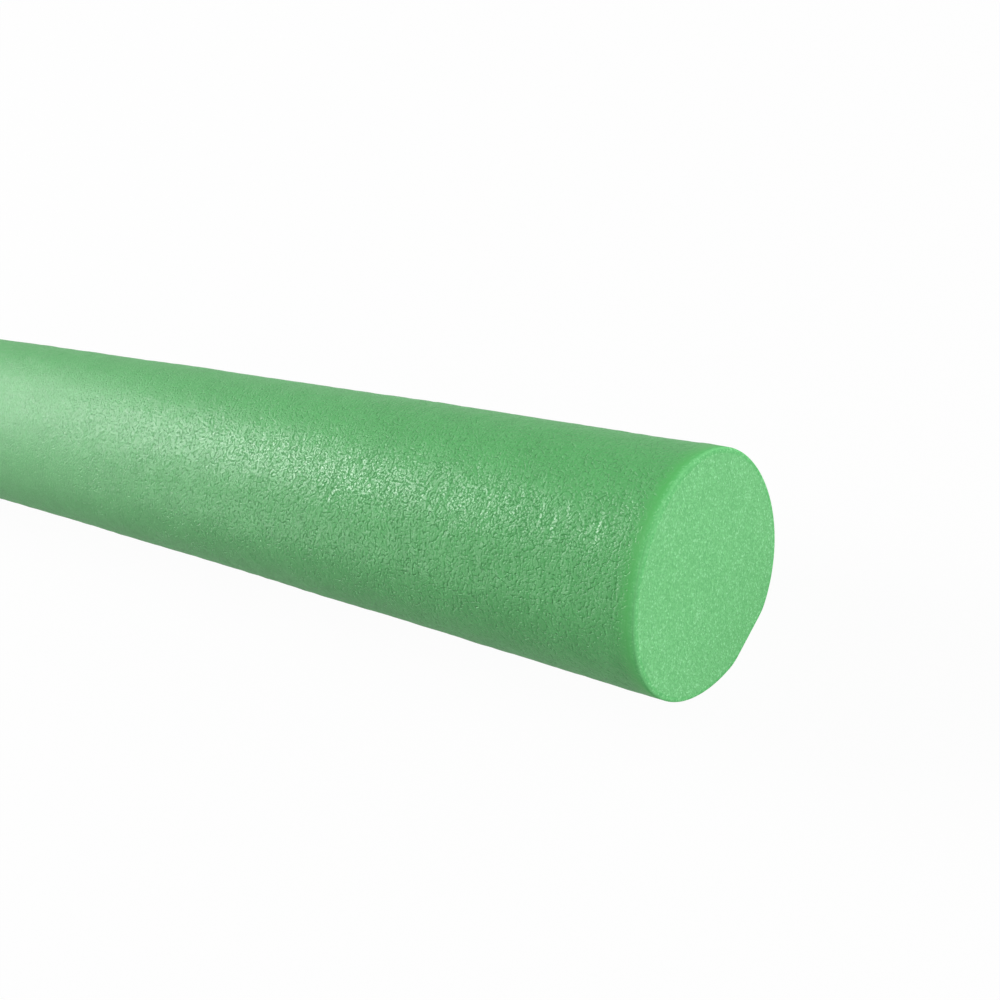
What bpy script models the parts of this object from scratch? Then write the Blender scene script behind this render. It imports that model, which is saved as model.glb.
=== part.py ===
"""Pool noodle: a solid bar of closed-cell polyethylene foam, inside the denser skin it was extruded with.

Metres, +Z up. The bar lies along X, and both ends are cut square to it. The origin is the middle of
the flattened underside, on the surface that the bar rests on.
"""

import math

import bmesh
import bpy
from mathutils import Vector

# The bar
LENGTH = 1.600                      # from cut end to cut end
SECTION_RADIUS = 0.035              # mean radius over the skin
UNDERSIDE_FLAT = 0.0016             # how far the foam is set in where it lies on its underside
SIDEWAYS_BOW = 0.010                # how far the ends lie to one side of the middle

# The section is not quite round: a little oval, with three faint lobes.
# Both angles are measured from straight down, towards +Y.
OVAL_SWELL = 0.0010
OVAL_ANGLE = math.radians(62)
LOBE_SWELL = 0.0007
LOBE_ANGLE = math.radians(29)

# The layers
SKIN_THICKNESS = 0.0015
BOND_GAP = 0.0003                   # between the skin and the core inside it
RIM_ROUND = 0.0013                  # soft edge that the knife leaves round each cut end
RIM_SHARE = 0.90                    # the most of the skin's thickness that the soft edge may take

# Fineness of the surfaces
SIDES = 96                          # round the section
BOW_STEPS = 11                      # along the bar
RIM_STEPS = 4                       # round the soft edge
MERGE_WITHIN = 0.000001             # corners closer than this are one corner

# The foam's two finishes: linear red, green and blue, and how matt each is
SKIN_GREEN = (0.120, 0.390, 0.140)
SKIN_ROUGHNESS = 0.45
CORE_GREEN = (0.200, 0.580, 0.235)
CORE_ROUGHNESS = 0.85

SMOOTH_BELOW = math.radians(40)     # edges that turn by less than this are shaded as one surface


def section(inset):
    """The outline across the bar, drawn in by inset, as points (y, z) that start near the underside."""
    rest_height = SECTION_RADIUS - UNDERSIDE_FLAT
    outline = []
    for side in range(SIDES):
        angle = math.tau * (side + 0.5) / SIDES
        oval = OVAL_SWELL * math.cos(2 * (angle - OVAL_ANGLE))
        lobes = LOBE_SWELL * math.cos(3 * (angle - LOBE_ANGLE))
        radius = SECTION_RADIUS + oval + lobes - inset
        if radius * math.cos(angle) > rest_height - inset:
            radius = (rest_height - inset) / math.cos(angle)
        outline.append((radius * math.sin(angle), rest_height - radius * math.cos(angle)))
    return outline


def on_the_bow(x, y, z):
    """Where a point of the straight bar lies once the bar is bowed sideways."""
    slope = -8 * SIDEWAYS_BOW * x / LENGTH**2
    middle = Vector((x, slope * x / 2, z))
    across = Vector((-slope, 1, 0)).normalized()
    return middle + y * across


def wrap(rings):
    """A sheet of faces wrapped round the bar. Each ring is a place along the bar and an inset."""
    mesh = bmesh.new()
    sheet = bmesh.ops.create_grid(mesh, x_segments=SIDES, y_segments=len(rings) - 1, size=1)["verts"]
    for row, (x, inset) in enumerate(rings):
        outline = section(inset)
        for side in range(SIDES + 1):
            y, z = outline[side % SIDES]
            sheet[row * (SIDES + 1) + side].co = on_the_bow(x, y, z)
    bmesh.ops.remove_doubles(mesh, verts=mesh.verts, dist=MERGE_WITHIN)
    return mesh


def steps(first, last, count):
    """Evenly spaced places from first to last, both included."""
    return [first + (last - first) * step / count for step in range(count + 1)]


def foam(name, colour, roughness):
    """The foam as it looks on one surface."""
    material = bpy.data.materials.new(name)
    material.use_nodes = True
    shader = material.node_tree.nodes["Principled BSDF"]
    shader.inputs["Base Color"].default_value = (*colour, 1)
    shader.inputs["Roughness"].default_value = roughness
    shader.inputs["Metallic"].default_value = 0
    return material


def add_piece(name, mesh, material, whole):
    """Turn the finished mesh into a named object, faces outwards, that belongs to the whole bar."""
    bmesh.ops.recalc_face_normals(mesh, faces=mesh.faces)
    if mesh.calc_volume(signed=True) < 0:
        bmesh.ops.reverse_faces(mesh, faces=mesh.faces)
    data = bpy.data.meshes.new(name)
    mesh.to_mesh(data)
    mesh.free()
    data.materials.append(material)
    data.shade_smooth()
    data.set_sharp_from_angle(angle=SMOOTH_BELOW)
    piece = bpy.data.objects.new(name, data)
    piece.parent = whole
    bpy.context.scene.collection.objects.link(piece)


def outer_skin(whole):
    """A thin tube, open at both ends, whose outer edges are softly rounded."""
    rim = min(RIM_ROUND, RIM_SHARE * SKIN_THICKNESS)
    end = LENGTH / 2
    turns = steps(0, math.pi / 2, RIM_STEPS)
    rim_curve = [(end - rim + rim * math.sin(turn), rim - rim * math.cos(turn)) for turn in turns]
    outside = [(x, 0) for x in steps(rim - end, end - rim, BOW_STEPS)]
    inside = [(x, SKIN_THICKNESS) for x in steps(end, -end, BOW_STEPS)]
    far_rim = [(-x, inset) for x, inset in reversed(rim_curve[1:])]
    rings = far_rim + outside + rim_curve[1:] + inside
    mesh = wrap(rings + rings[:1])
    add_piece("outer_skin", mesh, foam("skin", SKIN_GREEN, SKIN_ROUGHNESS), whole)


def foam_core(whole):
    """The solid cellular middle, cut flush with the skin at both ends."""
    end = LENGTH / 2
    inset = SKIN_THICKNESS + BOND_GAP
    mesh = wrap([(x, inset) for x in steps(-end, end, BOW_STEPS)])
    cut_ends = [edge for edge in mesh.edges if edge.is_boundary]
    bmesh.ops.edgeloop_fill(mesh, edges=cut_ends)
    add_piece("foam_core", mesh, foam("core", CORE_GREEN, CORE_ROUGHNESS), whole)


for leftover in list(bpy.data.objects):
    bpy.data.objects.remove(leftover)

noodle = bpy.data.objects.new("pool_noodle", None)
bpy.context.scene.collection.objects.link(noodle)
foam_core(noodle)
outer_skin(noodle)
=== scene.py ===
import math

import bmesh
import bpy
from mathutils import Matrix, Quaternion, Vector, noise


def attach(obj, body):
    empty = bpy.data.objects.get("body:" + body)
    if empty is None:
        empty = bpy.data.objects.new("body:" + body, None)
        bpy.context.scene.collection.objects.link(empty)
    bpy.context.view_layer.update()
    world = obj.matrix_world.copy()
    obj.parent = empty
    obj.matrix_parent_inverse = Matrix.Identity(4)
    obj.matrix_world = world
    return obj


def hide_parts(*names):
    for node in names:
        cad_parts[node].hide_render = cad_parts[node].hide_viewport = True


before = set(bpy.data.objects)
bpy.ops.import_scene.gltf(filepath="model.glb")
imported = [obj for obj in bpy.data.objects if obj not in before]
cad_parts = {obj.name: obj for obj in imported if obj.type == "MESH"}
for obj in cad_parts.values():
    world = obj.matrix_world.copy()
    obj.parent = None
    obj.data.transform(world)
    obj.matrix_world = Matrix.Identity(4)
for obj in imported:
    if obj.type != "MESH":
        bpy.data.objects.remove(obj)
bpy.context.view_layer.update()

# Foam skin
# The skin that polyethylene foam closes over itself as it is extruded: one thin tube from cut end to
# cut end, semi-gloss and finely wrinkled. It is one with the foam inside it, and the knife that cuts
# the bar to length leaves its edge soft.
BAR_LENGTH = 1.600
MEAN_RADIUS = 0.035
UNDERSIDE_FLAT = 0.0016             # how far the foam is set in where it lies
FLAT_BLEND = 0.0006                 # how gently the round turns into the flat
FLAT_WITHIN = math.radians(60)      # the flat lies well inside this angle from straight down
SIDEWAYS_BOW = 0.010
OVAL_SWELL = 0.0010
OVAL_ANGLE = math.radians(62)       # from straight down, towards +Y, as every angle round the bar
LOBE_SWELL = 0.0007
LOBE_ANGLE = math.radians(29)
SKIN_THICKNESS = 0.0015
RIM_ROUND = 0.0008
RIM_STEPS = 8
SKIN_SIDES = 160
INNER_RINGS = 12
END_CELL = 0.0014                   # rings are this close near the ends
MIDDLE_CELL = 0.0050                # and this close between them
NEAR_ZONE = 0.300
FAR_ZONE = 0.060
MERGE_WITHIN = 0.000001
SHARP_ANGLE = math.radians(50)      # edges that turn more than this aren't shaded smooth

# Unevenness that the skin's mesh carries: each is (size of one bump, its height)
SLOW_WAVES = (0.045, 0.00030)
PUCKERS = (0.0085, 0.00012)
CRINKLES = (0.0036, 0.00006)
NOISE_SHIFT = Vector((7, 3, 5))     # keeps the small bumps' noise apart from the waves'
LEAST_CELLS = 1.5                   # a bump wider than this many cells begins to show
SMOOTH_RIM = 0.007                  # the skin is stretched smooth this near a cut
GLOW_REACH = 0.0060                 # the painted glow, for light from a cut coming through the skin, reaches this far


def on_the_bar(x, angle, inset):
    """A point of the bar's surface, drawn in by inset, and the way out of the bar there."""
    oval = OVAL_SWELL * math.cos(2 * (angle - OVAL_ANGLE))
    lobes = LOBE_SWELL * math.cos(3 * (angle - LOBE_ANGLE))
    rest_height = MEAN_RADIUS - UNDERSIDE_FLAT
    radius = MEAN_RADIUS + oval + lobes - inset
    if math.cos(angle) > math.cos(FLAT_WITHIN):
        flat = (rest_height - inset) / math.cos(angle)
        blend = max(0, 1 - abs(radius - flat) / FLAT_BLEND)
        radius = min(radius, flat) - blend * blend * FLAT_BLEND / 4
    slope = -8 * SIDEWAYS_BOW * x / BAR_LENGTH**2
    across = Vector((-slope, 1, 0)).normalized()
    outward = across * math.sin(angle) - Vector((0, 0, math.cos(angle)))
    return Vector((x, slope * x / 2, rest_height)) + radius * outward, outward


def swell(point, cell, from_rim):
    """How far the skin stands out at a point, where its mesh has cells of this size."""
    height = SLOW_WAVES[1] * noise.noise(point / SLOW_WAVES[0])
    for size, depth in (PUCKERS, CRINKLES):
        carried = min(1, max(0, size / cell - LEAST_CELLS))
        crumple = abs(noise.noise(point / size + NOISE_SHIFT * size)) * 2 - 0.5
        height += depth * carried * crumple
    return height * min(1, max(0, from_rim / SMOOTH_RIM))


def wrap(rings, sides, place):
    """A sheet of faces wrapped round the bar from ring to ring, with each corner where place puts it."""
    mesh = bmesh.new()
    glow = mesh.verts.layers.float.new("cut_glow")
    sheet = bmesh.ops.create_grid(mesh, x_segments=sides, y_segments=len(rings) - 1, size=1)["verts"]
    for index, vert in enumerate(sheet):
        row, side = divmod(index, sides + 1)
        vert.co, vert[glow] = place(rings[row], math.tau * (side % sides) / sides)
    bmesh.ops.remove_doubles(mesh, verts=mesh.verts, dist=MERGE_WITHIN)
    return mesh


def shown(name, data):
    """A new object in the scene that holds this data."""
    thing = bpy.data.objects.new(name, data)
    bpy.context.scene.collection.objects.link(thing)
    return thing


def made_of(name, mesh):
    """A new object in the scene with this bmesh as its mesh."""
    data = bpy.data.meshes.new(name)
    mesh.to_mesh(data)
    mesh.free()
    return shown(name, data)


def finish_piece(name, mesh):
    """The mesh as a smooth-shaded object whose faces point out."""
    bmesh.ops.recalc_face_normals(mesh, faces=mesh.faces)
    if mesh.calc_volume(signed=True) < 0:
        bmesh.ops.reverse_faces(mesh, faces=mesh.faces)
    piece = made_of(name, mesh)
    piece.data.shade_smooth()
    piece.data.set_sharp_from_angle(angle=SHARP_ANGLE)
    return piece


def skin_rings():
    """The skin's rings as (place along the bar, inset, cell size), once round the tube's wall."""
    half = BAR_LENGTH / 2
    rim = [math.pi / 2 * step / RIM_STEPS for step in range(1, RIM_STEPS + 1)]
    near_rim = [(half - RIM_ROUND + RIM_ROUND * math.sin(turn), RIM_ROUND - RIM_ROUND * math.cos(turn),
                 END_CELL) for turn in rim]
    far_rim = [(-x, inset, cell) for x, inset, cell in reversed(near_rim)]
    outside = [(half - RIM_ROUND, 0, END_CELL)]
    while outside[-1][0] > RIM_ROUND - half:
        x = outside[-1][0]
        beyond = min(half - x - NEAR_ZONE, half + x - FAR_ZONE)
        cell = END_CELL + (MIDDLE_CELL - END_CELL) * min(1, max(0, beyond / FAR_ZONE))
        outside.append((x - cell, 0, cell))
    outside[-1] = (RIM_ROUND - half, 0, END_CELL)
    inside = [(half - BAR_LENGTH * step / INNER_RINGS, SKIN_THICKNESS, END_CELL)
              for step in range(INNER_RINGS + 1)]
    rings = far_rim + outside[::-1] + near_rim + inside
    return rings + rings[:1]


def place_skin(ring, angle):
    """Where a corner of the skin lies, and how much of the painted glow from the cut it gets."""
    x, inset, cell = ring
    point, outward = on_the_bar(x, angle, inset)
    from_end = BAR_LENGTH / 2 - abs(x)
    if inset == 0:
        point += outward * swell(point, cell, from_end - RIM_ROUND)
        point.z = max(point.z, 0)
    return point, max(0, 1 - from_end / GLOW_REACH)


def add_node(tree, kind, **settings):
    """A shader node with its properties and inputs set."""
    node = tree.nodes.new(kind)
    for name, value in settings.items():
        if hasattr(node, name):
            setattr(node, name, value)
        else:
            node.inputs[name.replace("_", " ")].default_value = value
    return node


def new_material(name):
    """An empty Principled material, with its tree, its shader and the object's own coordinates."""
    material = bpy.data.materials.new(name)
    material.use_nodes = True
    tree = material.node_tree
    shader = tree.nodes["Principled BSDF"]
    coordinates = tree.nodes.new("ShaderNodeTexCoord").outputs["Object"]
    return material, tree, shader, coordinates


def maths(tree, operation, first, second):
    """Two numbers or sockets joined by arithmetic."""
    node = add_node(tree, "ShaderNodeMath", operation=operation)
    for socket, value in zip(node.inputs, (first, second)):
        if isinstance(value, (int, float)):
            socket.default_value = value
        else:
            tree.links.new(value, socket)
    return node.outputs[0]


def ranged(tree, value, low, high, to_low, to_high):
    """A socket's value mapped from one range to another, without going past it."""
    node = add_node(tree, "ShaderNodeMapRange", From_Min=low, From_Max=high, To_Min=to_low, To_Max=to_high)
    tree.links.new(value, node.inputs["Value"])
    return node.outputs["Result"]


def mixed(tree, share, first, second):
    """One colour over another, by a share from a socket."""
    node = add_node(tree, "ShaderNodeMix", data_type="RGBA")
    tree.links.new(share, node.inputs["Factor"])
    for socket, colour in zip(node.inputs[6:8], (first, second)):
        if isinstance(colour, tuple):
            socket.default_value = (*colour, 1)
        else:
            tree.links.new(colour, socket)
    return node.outputs[2]


def tinted(tree, colour, layers):
    """A colour under layers of others: each is (what it follows, from, to, its share there, its colour)."""
    for value, low, high, share, tint in layers:
        colour = mixed(tree, ranged(tree, value, low, high, 0, share), colour, tint)
    return colour


def noise_of(tree, coordinates, size, detail=2.0, roughness=0.5, distortion=0.0):
    """Soft noise whose bumps are about this size in metres."""
    node = add_node(tree, "ShaderNodeTexNoise", Scale=1 / size, Detail=detail, Roughness=roughness,
                    Distortion=distortion)
    tree.links.new(coordinates, node.inputs["Vector"])
    return node.outputs["Fac"]


def cells_of(tree, coordinates, size):
    """Foam-like cells of about this size in metres."""
    node = add_node(tree, "ShaderNodeTexVoronoi", Scale=1 / size)
    tree.links.new(coordinates, node.inputs["Vector"])
    return node.outputs


# Fine relief that the skin's shader carries: each is (size of one bump, its height)
PEBBLES = (0.00074, 0.0016)         # but most dips are as deep as a tenth of this height
PEBBLE_POWER = 6.0                  # how flat each pebble's top is
PEBBLE_REACH = 0.88                 # how far from a pebble's middle the dip beside it goes on falling
GRAINS = (0.0010, 0.00006)
WRINKLES = (0.0026, 0.00018)
WRINKLE_TWIST = 0.6
CREASES = (0.0110, 0.00050)
CREASE_TWIST = 2.0
CREASE_STRETCH = 1.6                # they run round the bar, so they are this much longer than wide
SATIN = (0.00030, 0.00024)          # finer grain, where the wrinkles are faint
SMOOTHER_FROM = 0.50                # the wrinkles are faint up to here along the bar
SMOOTHER_TO = 0.71                  # and at their full height from here
SMOOTHER_SHARE = 0.20
TIGHTER_FROM = 0.70                 # from here the skin is drawn a little tighter towards the cut
TIGHTER_SHARE = 0.70
CUT_SHARE = 0.05                    # how much of the relief is left at a cut
SOFT_SHARE = 0.22                   # how much of it shows in the foam under the glossy film

FOAM_ROUGHNESS = 0.6
FILM_WEIGHT = 0.54                  # the gloss is all in this film, and the foam under it is matt
FILM_ROUGHNESS = 0.36
FILM_IOR = 1.60
CLOUD_SIZE = 0.012                  # of the patches of deeper green
CLOUDED = (0.35, 0.65)              # such patches grow between these levels of their noise
SHADE_BETWEEN_PEBBLES = (0.45, 0.75)      # painted shade grows between these distances from a pebble's middle, in sizes of a pebble
# painted highlights grow on the grain tops between these levels of the grain's noise
HIGHLIGHTED_GRAIN_TOPS = (0.50, 0.65)
SKIN_GREEN = (0.068, 0.318, 0.089)
SKIN_DEEP_TONE_AND_SHADE = (0.040, 0.224, 0.057)     # deeper tone in soft patches, and painted shade between the pebbles
SKIN_PAINTED_HIGHLIGHT = (0.094, 0.378, 0.119)     # painted highlight on the tops of the grains
SKIN_PAINTED_GLOW = (0.068, 0.366, 0.086)      # painted glow near a cut, for light that comes through the skin there
PAINTED_RIM_GLOW = (0.215, 0.700, 0.262)           # painted glow on the rounded edge, as if the thin foam there let light through
RIM_GLOW_SHARE = 0.5

# Where the looks change near a cut, each as (start, end): 0 is GLOW_REACH away from it and 1 is at it
CALMED = (0, 0.6)                   # the relief dies away
# LIT: the painted glow near a cut, for light through the skin, grows over this range
LIT = (0, 0.7)
FILM_ENDS = (0.55, 0.85)
TURNS_CUT = (0.60, 0.95)            # the skin's green turns into that of the cut foam
# the painted glow on the rounded edge rises and then falls over these two ranges
RIM_GLOW_RISES = (0.84, 0.94)
RIM_GLOW_FALLS = (0.965, 0.995)

CUT_CELL = 0.00045
CUT_SPECK_SIZE = 0.0013
CUT_CLOUD_SIZE = 0.004
PAINTED_GLINTS = (0.80, 1)                  # painted glints: only cells whose chance number lies here are made paler, as if they caught the light
CUT_GREEN = (0.194, 0.592, 0.233)
CUT_GREEN_DEEP = (0.115, 0.429, 0.147)
# the painted glint on a few cells
CUT_PAINTED_GLINT = (0.311, 0.700, 0.355)


def cut_foam_colour(tree, coordinates):
    """The cut cells: a fine grain, and a few cells with a painted glint."""
    chance = tree.nodes.new("ShaderNodeSeparateColor")
    tree.links.new(cells_of(tree, coordinates, CUT_CELL)["Color"], chance.inputs["Color"])
    specks = noise_of(tree, coordinates, CUT_SPECK_SIZE, detail=1.0)
    clouds = noise_of(tree, coordinates, CUT_CLOUD_SIZE)
    return tinted(tree, CUT_GREEN, (
        (chance.outputs["Red"], 0, 1, 1, CUT_GREEN_DEEP),
        (specks, *CLOUDED, 0.6, CUT_GREEN_DEEP),
        (clouds, *CLOUDED, 0.3, CUT_GREEN_DEEP),
        (chance.outputs["Green"], *PAINTED_GLINTS, 0.7, CUT_PAINTED_GLINT)))


def foam_skin_material():
    """Wrinkled, semi-gloss foam skin that pales into cut foam round its edge, with painted shade in its
    dips, painted highlights on its grain and a painted glow near each cut.
    """
    material, tree, shader, coordinates = new_material("foam_skin")
    near_cut = add_node(tree, "ShaderNodeAttribute", attribute_name="cut_glow").outputs["Fac"]
    place = tree.nodes.new("ShaderNodeSeparateXYZ")
    tree.links.new(coordinates, place.inputs["Vector"])
    along = place.outputs["X"]

    away = cells_of(tree, coordinates, PEBBLES[0])["Distance"]
    dip = maths(tree, "POWER", maths(tree, "MINIMUM", away, PEBBLE_REACH), PEBBLE_POWER)
    grain = noise_of(tree, coordinates, GRAINS[0], detail=1.0)
    wrinkle = noise_of(tree, coordinates, WRINKLES[0], distortion=WRINKLE_TWIST)
    stretched = add_node(tree, "ShaderNodeVectorMath", operation="MULTIPLY")
    tree.links.new(coordinates, stretched.inputs[0])
    stretched.inputs[1].default_value = (CREASE_STRETCH, 1, 1)
    crease = noise_of(tree, stretched.outputs["Vector"], CREASES[0], detail=1.0, distortion=CREASE_TWIST)
    height = maths(tree, "MULTIPLY", dip, -PEBBLES[1])
    for bumps, depth in ((grain, GRAINS[1]), (wrinkle, WRINKLES[1]), (crease, CREASES[1])):
        height = maths(tree, "ADD", height, maths(tree, "MULTIPLY", bumps, depth))
    settled = ranged(tree, along, SMOOTHER_FROM, SMOOTHER_TO, SMOOTHER_SHARE, 1)
    tighter = ranged(tree, along, TIGHTER_FROM, BAR_LENGTH / 2, 1, TIGHTER_SHARE)
    height = maths(tree, "MULTIPLY", height, maths(tree, "MULTIPLY", settled, tighter))
    satin = noise_of(tree, coordinates, SATIN[0], detail=1.0)
    satin_depth = ranged(tree, along, SMOOTHER_FROM, SMOOTHER_TO, SATIN[1], 0)
    height = maths(tree, "ADD", height, maths(tree, "MULTIPLY", satin, satin_depth))
    height = maths(tree, "MULTIPLY", height, ranged(tree, near_cut, *CALMED, 1, CUT_SHARE))
    for normal, share in (("Coat Normal", 1.0), ("Normal", SOFT_SHARE)):
        relief = add_node(tree, "ShaderNodeBump", Strength=1.0, Distance=share)
        tree.links.new(height, relief.inputs["Height"])
        tree.links.new(relief.outputs["Normal"], shader.inputs[normal])

    # Base colour: random patches of deeper tone, painted shade between the pebbles, painted highlights on
    # the grain tops, and near a cut a painted glow that turns into the cut foam's green
    tone = tinted(tree, SKIN_GREEN, (
        (noise_of(tree, coordinates, CLOUD_SIZE), *CLOUDED, 0.25, SKIN_DEEP_TONE_AND_SHADE),
        (away, *SHADE_BETWEEN_PEBBLES, 0.3, SKIN_DEEP_TONE_AND_SHADE),
        (grain, *HIGHLIGHTED_GRAIN_TOPS, 0.5, SKIN_PAINTED_HIGHLIGHT),
        (near_cut, *LIT, 1, SKIN_PAINTED_GLOW),
        (near_cut, *TURNS_CUT, 1, cut_foam_colour(tree, coordinates))))
    # Painted glow: a lighter line along the rounded edge, as if light came through the thin foam
    rising = ranged(tree, near_cut, *RIM_GLOW_RISES, 0, RIM_GLOW_SHARE)
    falling = ranged(tree, near_cut, *RIM_GLOW_FALLS, 1, 0)
    tone = mixed(tree, maths(tree, "MULTIPLY", rising, falling), tone, PAINTED_RIM_GLOW)
    tree.links.new(tone, shader.inputs["Base Color"])

    shader.inputs["Specular IOR Level"].default_value = 0.0
    shader.inputs["Roughness"].default_value = FOAM_ROUGHNESS
    film = ranged(tree, near_cut, *FILM_ENDS, FILM_WEIGHT, 0)
    tree.links.new(film, shader.inputs["Coat Weight"])
    shader.inputs["Coat Roughness"].default_value = FILM_ROUGHNESS
    shader.inputs["Coat IOR"].default_value = FILM_IOR
    return material


skin = finish_piece("noodle_skin", wrap(skin_rings(), SKIN_SIDES, place_skin))
skin.data.materials.append(foam_skin_material())
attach(skin, "root")
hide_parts("outer_skin")

# Foam core
# The solid, fine-celled foam inside the skin. It shows only at the two ends, where a knife has cut
# the bar square, and there it is paler and matt, with a painted glint on a few of its cells.
CORE_GAP = 0.0003                   # to the skin, away from the ends
CORE_RINGS = 12
FACE_CELLS = 100                    # across a cut end
FACE_CALM = 12                      # unevenness fades over the outermost 1/12 of the way to the skin
FACE_SINK = 0.5                     # of each wave's height, so that a cut end hardly stands proud
JUST_INSIDE = 0.999                 # of an end's place, to find which way the bar points there
KNIFE_WAVES = (0.009, 0.00006)
KNIFE_MARKS = (0.0021, 0.00004)
SEAM_WITHIN = 0.00001               # corners of the side and of a cut end this close are one

CUT_ROUGHNESS = 0.75
CUT_RELIEF = (0.0009, 0.00020)      # as for the skin, the size of a bump and its height
CELL_SHARE = 0.6                    # how strongly the cells show in it


def place_core(ring, angle):
    """Where a corner of the core's side lies. No painted glow from a cut is needed there."""
    x, inset = ring
    return on_the_bar(x, angle, inset)[0], 0


def on_the_disc(across, up):
    """A point of a square as (angle, share of the way out) on a disc, with even cells."""
    if across == 0 and up == 0:
        return 0, 0
    if abs(across) > abs(up):
        return math.pi / 4 * up / across + (math.pi if across < 0 else 0), abs(across)
    return math.pi / 2 - math.pi / 4 * across / up + (math.pi if up < 0 else 0), abs(up)


def add_cut_end(mesh, x):
    """A cut end: a square grid spread evenly over the bar's section, very slightly uneven."""
    face = bmesh.ops.create_grid(mesh, x_segments=FACE_CELLS, y_segments=FACE_CELLS, size=1)["verts"]
    centre = (on_the_bar(x, 0, 0)[0] + on_the_bar(x, math.pi, 0)[0]) / 2
    along = (on_the_bar(x, 0, 0)[0] - on_the_bar(x * JUST_INSIDE, 0, 0)[0]).normalized()
    for vert in face:
        angle, share = on_the_disc(vert.co.x, vert.co.y)
        edge = on_the_bar(x, angle, SKIN_THICKNESS)[0]
        point = centre.lerp(edge, share)
        uneven = sum(depth * (noise.noise(point / size) - FACE_SINK)
                     for size, depth in (KNIFE_WAVES, KNIFE_MARKS))
        vert.co = point + along * uneven * min(1, (1 - share) * FACE_CALM)


def cut_foam_material():
    """Matt cut foam."""
    material, tree, shader, coordinates = new_material("cut_foam")
    tree.links.new(cut_foam_colour(tree, coordinates), shader.inputs["Base Color"])
    shader.inputs["Roughness"].default_value = CUT_ROUGHNESS
    cells = maths(tree, "MULTIPLY", cells_of(tree, coordinates, CUT_CELL)["Distance"], CELL_SHARE)
    fine = noise_of(tree, coordinates, CUT_RELIEF[0], detail=3.0, roughness=0.6)
    relief = add_node(tree, "ShaderNodeBump", Strength=1.0, Distance=CUT_RELIEF[1])
    tree.links.new(maths(tree, "ADD", cells, fine), relief.inputs["Height"])
    tree.links.new(relief.outputs["Normal"], shader.inputs["Normal"])
    return material


end = BAR_LENGTH / 2
side_rings = [(end - BAR_LENGTH * step / CORE_RINGS, SKIN_THICKNESS + CORE_GAP)
              for step in range(CORE_RINGS + 1)]
side_rings[0] = (end, SKIN_THICKNESS)
side_rings[-1] = (-end, SKIN_THICKNESS)
core_mesh = wrap(side_rings, 4 * FACE_CELLS, place_core)
add_cut_end(core_mesh, end)
add_cut_end(core_mesh, -end)
bmesh.ops.remove_doubles(core_mesh, verts=core_mesh.verts, dist=SEAM_WITHIN)
core = finish_piece("noodle_core", core_mesh)
core.data.materials.append(cut_foam_material())
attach(core, "root")
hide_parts("foam_core")

# Floor
# A plain mid-grey sheet that the noodle lies on. It is nearly white to the camera and in reflections.
# In reflections a painted shade darkens it beside the bar, as a real floor is, and it keeps the bar's soft
# shadow.
FLOOR_HALF = 40.0
FLOOR_DROP = 0.0002                 # below the bar, so that the two don't share a plane
FLOOR_COLOUR = (0.50, 0.50, 0.50)
FLOOR_ROUGHNESS = 0.9
WHITE_SHARE = 0.97                  # how much of what the camera sees of the floor is plain white
SHADE_RADIUS = MEAN_RADIUS          # the bar hides this much of the room from the floor beside it


def looked_at(tree, path, mirrored):
    """How much of a ray looks at the background: from the camera, through a clear piece or mirrored."""
    direct = maths(tree, "ADD", path["Is Camera Ray"], path["Is Transmission Ray"])
    return maths(tree, "MINIMUM", maths(tree, "ADD", direct, mirrored), 1)


floor_mesh = bmesh.new()
bmesh.ops.create_grid(floor_mesh, x_segments=1, y_segments=1, size=FLOOR_HALF)
bmesh.ops.translate(floor_mesh, verts=floor_mesh.verts, vec=(0, 0, -FLOOR_DROP))
floor = made_of("floor", floor_mesh)

floor_material, tree, shader, coordinates = new_material("floor")
shader.inputs["Base Color"].default_value = (*FLOOR_COLOUR, 1)
shader.inputs["Roughness"].default_value = FLOOR_ROUGHNESS
white = add_node(tree, "ShaderNodeEmission", Color=(1, 1, 1, 1), Strength=1.0)
place = tree.nodes.new("ShaderNodeSeparateXYZ")
tree.links.new(coordinates, place.inputs["Vector"])
# Painted shade in reflections: beside the bar the floor's white fades, by how much of the room the bar would
# hide
beyond_end = maths(tree, "SUBTRACT", maths(tree, "ABSOLUTE", place.outputs["X"], 0), BAR_LENGTH / 2)
beyond_end = maths(tree, "MAXIMUM", beyond_end, 0)
apart = maths(tree, "ADD", maths(tree, "POWER", beyond_end, 2),
              maths(tree, "MULTIPLY", place.outputs["Y"], place.outputs["Y"]))
open_share = maths(tree, "DIVIDE", apart, maths(tree, "ADD", apart, SHADE_RADIUS**2))
path = tree.nodes.new("ShaderNodeLightPath").outputs
mirrored = maths(tree, "MULTIPLY", path["Is Glossy Ray"], open_share)
blend = tree.nodes.new("ShaderNodeMixShader")
tree.links.new(maths(tree, "MULTIPLY", looked_at(tree, path, mirrored), WHITE_SHARE), blend.inputs[0])
tree.links.new(shader.outputs[0], blend.inputs[1])
tree.links.new(white.outputs[0], blend.inputs[2])
tree.links.new(blend.outputs[0], tree.nodes["Material Output"].inputs["Surface"])
floor.data.materials.append(floor_material)

# Light
# A dim room, which is plain white to the camera and in reflections, and four soft lamps. The sheen
# lamp stands beyond the far end and gives the skin its long highlight. Its spread is narrow, which
# keeps the far end from being lit too strongly. The others light the near end, the back and the side.
WORLD_LEVEL = 0.25
AIM = Vector((0.60, 0, 0.035))      # the middle of the near part

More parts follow.
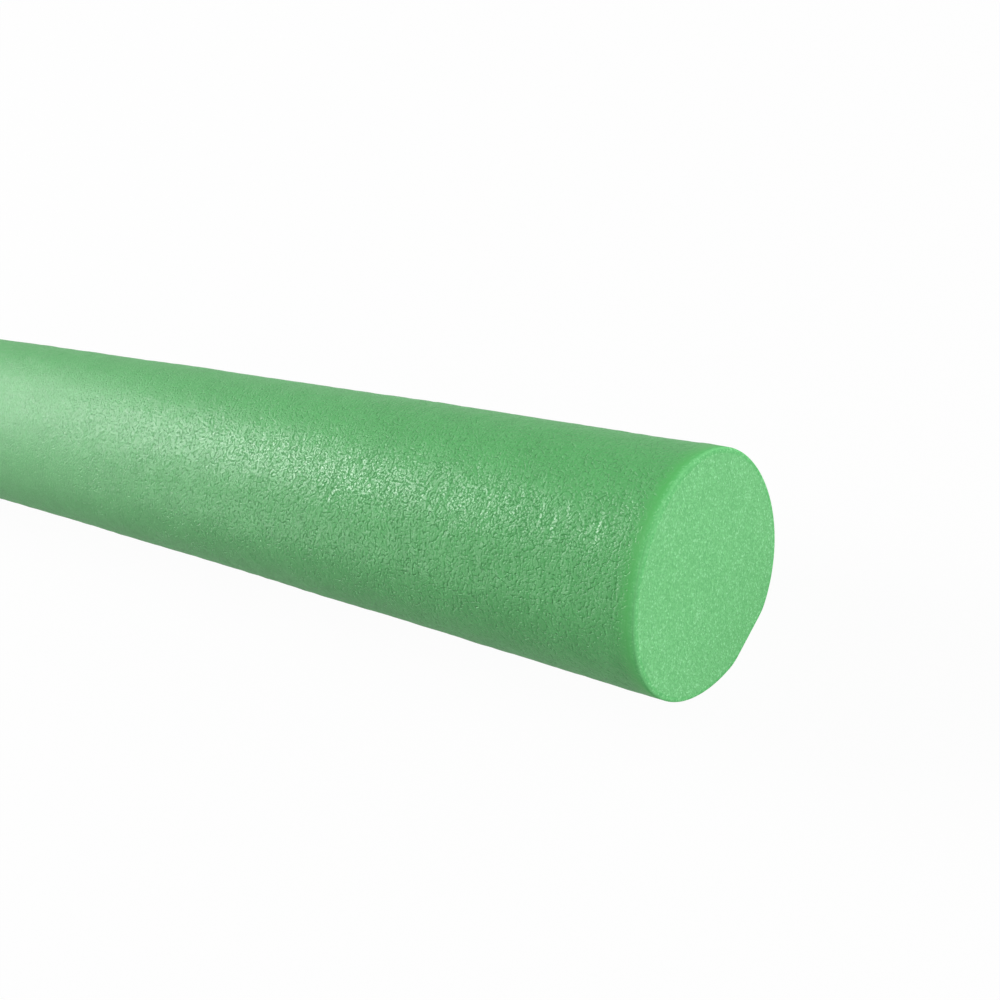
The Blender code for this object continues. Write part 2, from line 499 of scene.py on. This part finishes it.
world = bpy.data.worlds.new("room")
bpy.context.scene.world = world
world.use_nodes = True
backdrop = world.node_tree.nodes["Background"]
backdrop.inputs["Color"].default_value = (1, 1, 1, 1)
tree = world.node_tree
path = tree.nodes.new("ShaderNodeLightPath").outputs
seen = looked_at(tree, path, path["Is Glossy Ray"])
tree.links.new(ranged(tree, seen, 0, 1, WORLD_LEVEL, 1), backdrop.inputs["Strength"])


def soft_lamp(name, place, size, power, spread=180):
    """A square soft lamp that shines on the near part of the bar, over a spread in degrees."""
    data = bpy.data.lights.new(name, "AREA")
    data.shape = "SQUARE"
    data.size = size
    data.energy = power
    data.spread = math.radians(spread)
    lamp = shown(name, data)
    lamp.location = place
    lamp.rotation_euler = (AIM - Vector(place)).to_track_quat("-Z", "Y").to_euler()


soft_lamp("sheen_lamp", (-1.8, -0.05, 1.6), size=1.4, power=16.4, spread=60)
soft_lamp("end_lamp", (3.0, 0.2, 0.55), size=1.0, power=30)
soft_lamp("back_lamp", (2.2, 1.6, 1.0), size=1.4, power=21)
soft_lamp("side_lamp", (-1.6, -1.6, 0.5), size=1.2, power=30)

# Camera
# It looks down along the bar from just beyond the near end and is rolled to one side. Its place, its
# angles and its lens were fitted to the outline of the bar in the photograph.
CAMERA_PLACE = (0.95608, -0.16809, 0.28489)
CAMERA_HEADING = math.radians(54.20)        # from +Y towards -X
CAMERA_PITCH = math.radians(40.89)          # downwards
CAMERA_ROLL = math.radians(-31.79)
CAMERA_LENS = 44.64                         # millimetres
CAMERA_SENSOR = 36.0                        # millimetres wide
CAMERA_NEAR = 0.01                          # nothing closer than this is seen

camera_data = bpy.data.cameras.new("camera")
camera_data.lens = CAMERA_LENS
camera_data.sensor_width = CAMERA_SENSOR
camera_data.sensor_fit = "HORIZONTAL"
camera_data.clip_start = CAMERA_NEAR
camera = shown("camera", camera_data)
ahead = math.cos(CAMERA_PITCH)
look = Vector((-math.sin(CAMERA_HEADING) * ahead, math.cos(CAMERA_HEADING) * ahead, -math.sin(CAMERA_PITCH)))
camera.rotation_mode = "QUATERNION"
camera.rotation_quaternion = look.to_track_quat("-Z", "Y") @ Quaternion((0, 0, 1), CAMERA_ROLL)
camera.location = CAMERA_PLACE
bpy.context.scene.camera = camera

bpy.context.scene.view_settings.view_transform = "Standard"
